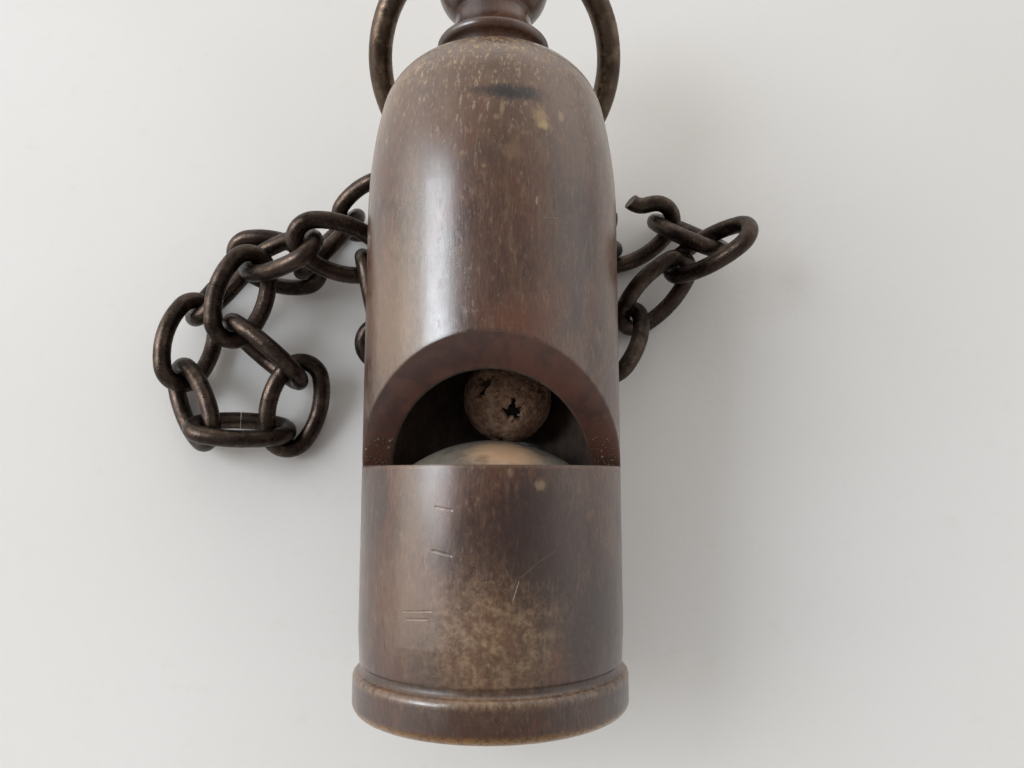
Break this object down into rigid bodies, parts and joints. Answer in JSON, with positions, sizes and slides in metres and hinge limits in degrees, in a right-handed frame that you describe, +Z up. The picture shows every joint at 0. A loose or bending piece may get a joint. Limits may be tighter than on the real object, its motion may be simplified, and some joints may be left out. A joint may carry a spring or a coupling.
{
  "type": "pea whistle",
  "caption": "Turned pea whistle with a domed plug, loose cork pea, drilled finial, wire suspension ring and a loosely bunched oval link chain.",
  "frame": {"origin": "middle of the layout footprint, on the table under the whistle and its chain", "axes": "+Y from the mouth end towards the finial, +Z up from the table, +X to the right seen from above with the finial away"},
  "size_m": [0.0675, 0.082, 0.032],
  "materials": {
    "dark_horn": "satin, hand polished, worn dark brown horn or hardwood",
    "plug_horn": "satin, lighter horn or boxwood, dusty",
    "cork": "matte cork with dark pores and cracks",
    "ring_iron": "oxidised dark brown iron wire, semi-gloss where handled",
    "chain_iron": "oxidised dark brown iron wire, semi-gloss on the crests"
  },
  "bodies": {
    "whistle": {"body_shell": "dark_horn", "finial": "dark_horn", "fipple_plug": "plug_horn"},
    "pea": {"pea": "cork"},
    "ring": {"suspension_ring": "ring_iron"},
    "chain_link_01": {"chain_link_01": "chain_iron"},
    "chain_link_02": {"chain_link_02": "chain_iron"},
    "chain_link_03": {"chain_link_03": "chain_iron"},
    "chain_link_04": {"chain_link_04": "chain_iron"},
    "chain_link_05": {"chain_link_05": "chain_iron"},
    "chain_link_06": {"chain_link_06": "chain_iron"},
    "chain_link_07": {"chain_link_07": "chain_iron"},
    "chain_link_08": {"chain_link_08": "chain_iron"},
    "chain_link_09": {"chain_link_09": "chain_iron"},
    "chain_link_10": {"chain_link_10": "chain_iron"},
    "chain_link_11": {"chain_link_11": "chain_iron"},
    "chain_link_12": {"chain_link_12": "chain_iron"},
    "chain_link_13": {"chain_link_13": "chain_iron"},
    "chain_link_14": {"chain_link_14": "chain_iron"},
    "chain_link_15": {"chain_link_15": "chain_iron"},
    "chain_link_16": {"chain_link_16": "chain_iron"},
    "chain_link_17": {"chain_link_17": "chain_iron"},
    "chain_link_18": {"chain_link_18": "chain_iron"},
    "chain_link_19": {"chain_link_19": "chain_iron"},
    "chain_link_20": {"chain_link_20": "chain_iron"},
    "chain_link_21": {"chain_link_21": "chain_iron"},
    "chain_link_22": {"chain_link_22": "chain_iron"},
    "chain_link_23": {"chain_link_23": "chain_iron"}
  },
  "joints": [
    {"name": "pea_slide", "type": "slide", "parent": "whistle", "child": "pea", "axis": [0, 0.9863, 0.165], "range_m": [0, 0.0164]},
    {"name": "ring_swing", "type": "hinge", "parent": "whistle", "child": "ring", "pos_m": [0.00469, 0.03493, 0.02449], "axis": [1, 0, 0], "range_deg": [0, 296]},
    {"name": "link_01_swing", "type": "hinge", "parent": "ring", "child": "chain_link_01", "pos_m": [-0.00427, 0.01971, 0.01083], "axis": [-0.6947, 0.5354, 0.4804], "range_deg": [-60, 1]},
    {"name": "link_02_swing", "type": "hinge", "parent": "chain_link_01", "child": "chain_link_02", "pos_m": [-0.00697, 0.01676, 0.00554], "axis": [-0.0167, -0.641, 0.7674], "range_deg": [-60, 2]},
    {"name": "link_03_swing", "type": "hinge", "parent": "chain_link_02", "child": "chain_link_03", "pos_m": [-0.01379, 0.0137, 0.0028], "axis": [0.6414, -0.5524, -0.5325], "range_deg": [-35, 3]},
    {"name": "link_04_swing", "type": "hinge", "parent": "chain_link_03", "child": "chain_link_04", "pos_m": [-0.01845, 0.00798, 0.0032], "axis": [-0.0202, -0.7231, 0.6904], "range_deg": [-25, 1]},
    {"name": "link_05_swing", "type": "hinge", "parent": "chain_link_04", "child": "chain_link_05", "pos_m": [-0.02562, 0.00804, 0.00326], "axis": [0.6892, -0.5456, -0.4768], "range_deg": [-2, 1]},
    {"name": "link_06_swing", "type": "hinge", "parent": "chain_link_05", "child": "chain_link_06", "pos_m": [-0.03014, 0.0016, 0.00356], "axis": [0.7335, -0.1345, 0.6662], "range_deg": [-1, 5]},
    {"name": "link_07_swing", "type": "hinge", "parent": "chain_link_06", "child": "chain_link_07", "pos_m": [-0.03086, -0.00619, 0.00285], "axis": [0.7065, 0.3018, -0.6402], "range_deg": [0, 25]},
    {"name": "link_08_swing", "type": "hinge", "parent": "chain_link_07", "child": "chain_link_08", "pos_m": [-0.02627, -0.01193, 0.00503], "axis": [0.1235, 0.8821, 0.4545], "range_deg": [-0.5, 0.5]},
    {"name": "link_09_swing", "type": "hinge", "parent": "chain_link_08", "child": "chain_link_09", "pos_m": [-0.01875, -0.01155, 0.00235], "axis": [-0.2825, 0.5583, -0.7801], "range_deg": [-0.5, 2]},
    {"name": "link_10_swing", "type": "hinge", "parent": "chain_link_09", "child": "chain_link_10", "pos_m": [-0.0188, -0.00503, 0.00507], "axis": [-0.6316, -0.7718, -0.0732], "range_deg": [-35, 0]},
    {"name": "link_11_swing", "type": "hinge", "parent": "chain_link_10", "child": "chain_link_11", "pos_m": [-0.02446, -0.00026, 0.00733], "axis": [-0.6019, 0.2925, -0.743], "range_deg": [-3, 8]},
    {"name": "link_12_swing", "type": "hinge", "parent": "chain_link_11", "child": "chain_link_12", "pos_m": [-0.02158, 0.00701, 0.00785], "axis": [-0.5137, 0.5023, 0.6956], "range_deg": [-1, 10]},
    {"name": "link_13_swing", "type": "hinge", "parent": "chain_link_12", "child": "chain_link_13", "pos_m": [-0.01493, 0.00774, 0.01145], "axis": [-0.3091, 0.7151, -0.6269], "range_deg": [-1, 15]},
    {"name": "link_14_swing", "type": "hinge", "parent": "chain_link_13", "child": "chain_link_14", "pos_m": [-0.00996, 0.00565, 0.00669], "axis": [0.9428, 0.2785, -0.1829], "range_deg": [-2, 60]},
    {"name": "link_15_swing", "type": "hinge", "parent": "chain_link_14", "child": "chain_link_15", "pos_m": [-0.00854, -0.00143, 0.00325], "axis": [-0.1753, 0.4262, -0.8875], "range_deg": [-5, 60]},
    {"name": "link_16_swing", "type": "hinge", "parent": "chain_link_15", "child": "chain_link_16", "pos_m": [-0.00108, 0.00144, 0.00353], "axis": [-0.3647, 0.8305, 0.421], "range_deg": [-3, 30]},
    {"name": "link_17_swing", "type": "hinge", "parent": "chain_link_16", "child": "chain_link_17", "pos_m": [0.00622, 0.00457, 0.00343], "axis": [-0.0448, 0.5903, -0.8059], "range_deg": [-15, 60]},
    {"name": "link_18_swing", "type": "hinge", "parent": "chain_link_17", "child": "chain_link_18", "pos_m": [0.01263, 0.00812, 0.0055], "axis": [-0.0509, 0.7585, 0.6497], "range_deg": [-40, 60]},
    {"name": "link_19_swing", "type": "hinge", "parent": "chain_link_18", "child": "chain_link_19", "pos_m": [0.01899, 0.01118, 0.00238], "axis": [-0.1636, 0.6504, -0.7418], "range_deg": [-60, 25]},
    {"name": "link_20_swing", "type": "hinge", "parent": "chain_link_19", "child": "chain_link_20", "pos_m": [0.02594, 0.01356, 0.00314], "axis": [0.3261, 0.7792, 0.5352], "range_deg": [-25, 60]},
    {"name": "link_21_swing", "type": "hinge", "parent": "chain_link_20", "child": "chain_link_21", "pos_m": [0.02934, 0.00835, 0.00794], "axis": [0.9407, -0.1365, -0.3106], "range_deg": [-7, 9]},
    {"name": "link_22_swing", "type": "hinge", "parent": "chain_link_21", "child": "chain_link_22", "pos_m": [0.02532, 0.00646, 0.00508], "axis": [0.2386, -0.6563, 0.7158], "range_deg": [-25, 8]},
    {"name": "link_23_swing", "type": "hinge", "parent": "chain_link_22", "child": "chain_link_23", "pos_m": [0.01971, 0.00144, 0.00247], "axis": [0.4924, -0.3966, -0.7748], "range_deg": [-60, 60]}
  ]
}
